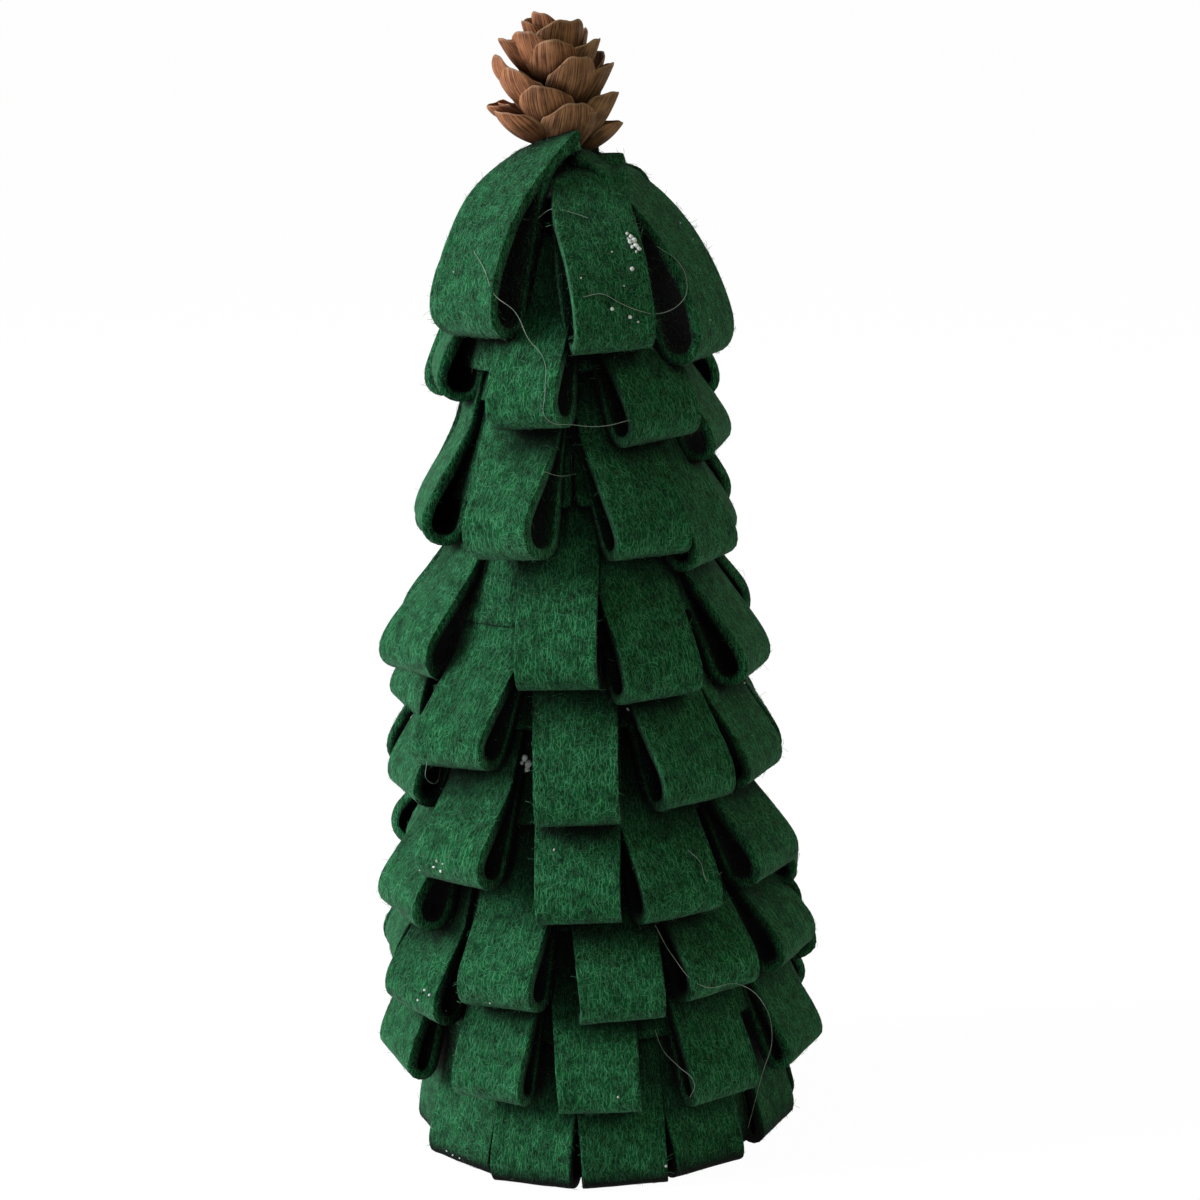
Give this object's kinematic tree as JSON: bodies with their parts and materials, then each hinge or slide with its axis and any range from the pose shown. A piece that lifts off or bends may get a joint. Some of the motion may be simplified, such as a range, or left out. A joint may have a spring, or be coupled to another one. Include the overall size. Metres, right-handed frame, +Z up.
{
  "type": "felt loop christmas tree",
  "caption": "Table-top Christmas tree: a foam cone dressed in overlapping bands of folded felt loops, with a rosette of longer loops and a small natural cone on top.",
  "frame": {"origin": "middle of the underside of the felt base disc", "axes": "+Z up along the tree's axis, -Y towards the front as pictured, +X to the viewer's right"},
  "size_m": [0.118, 0.119, 0.2994],
  "materials": {
    "felt": "deep green polyester felt with fine pale fibres",
    "foam": "white expanded foam",
    "glue": "set hot glue",
    "pine_cone": "dry brown scales"
  },
  "bodies": {
    "root": {"base_disc": "felt", "foam_cone": "foam", "loop_band_1": "felt", "loop_band_2": "felt", "loop_band_3": "felt", "loop_band_4": "felt", "loop_band_5": "felt", "loop_band_6": "felt", "loop_band_7": "felt", "loop_band_8": "felt", "top_loop_1": "felt", "top_loop_2": "felt", "top_loop_3": "felt", "top_loop_4": "felt", "top_loop_5": "felt", "top_loop_6": "felt", "glue_ring": "glue", "pine_cone": "pine_cone"}
  },
  "joints": []
}
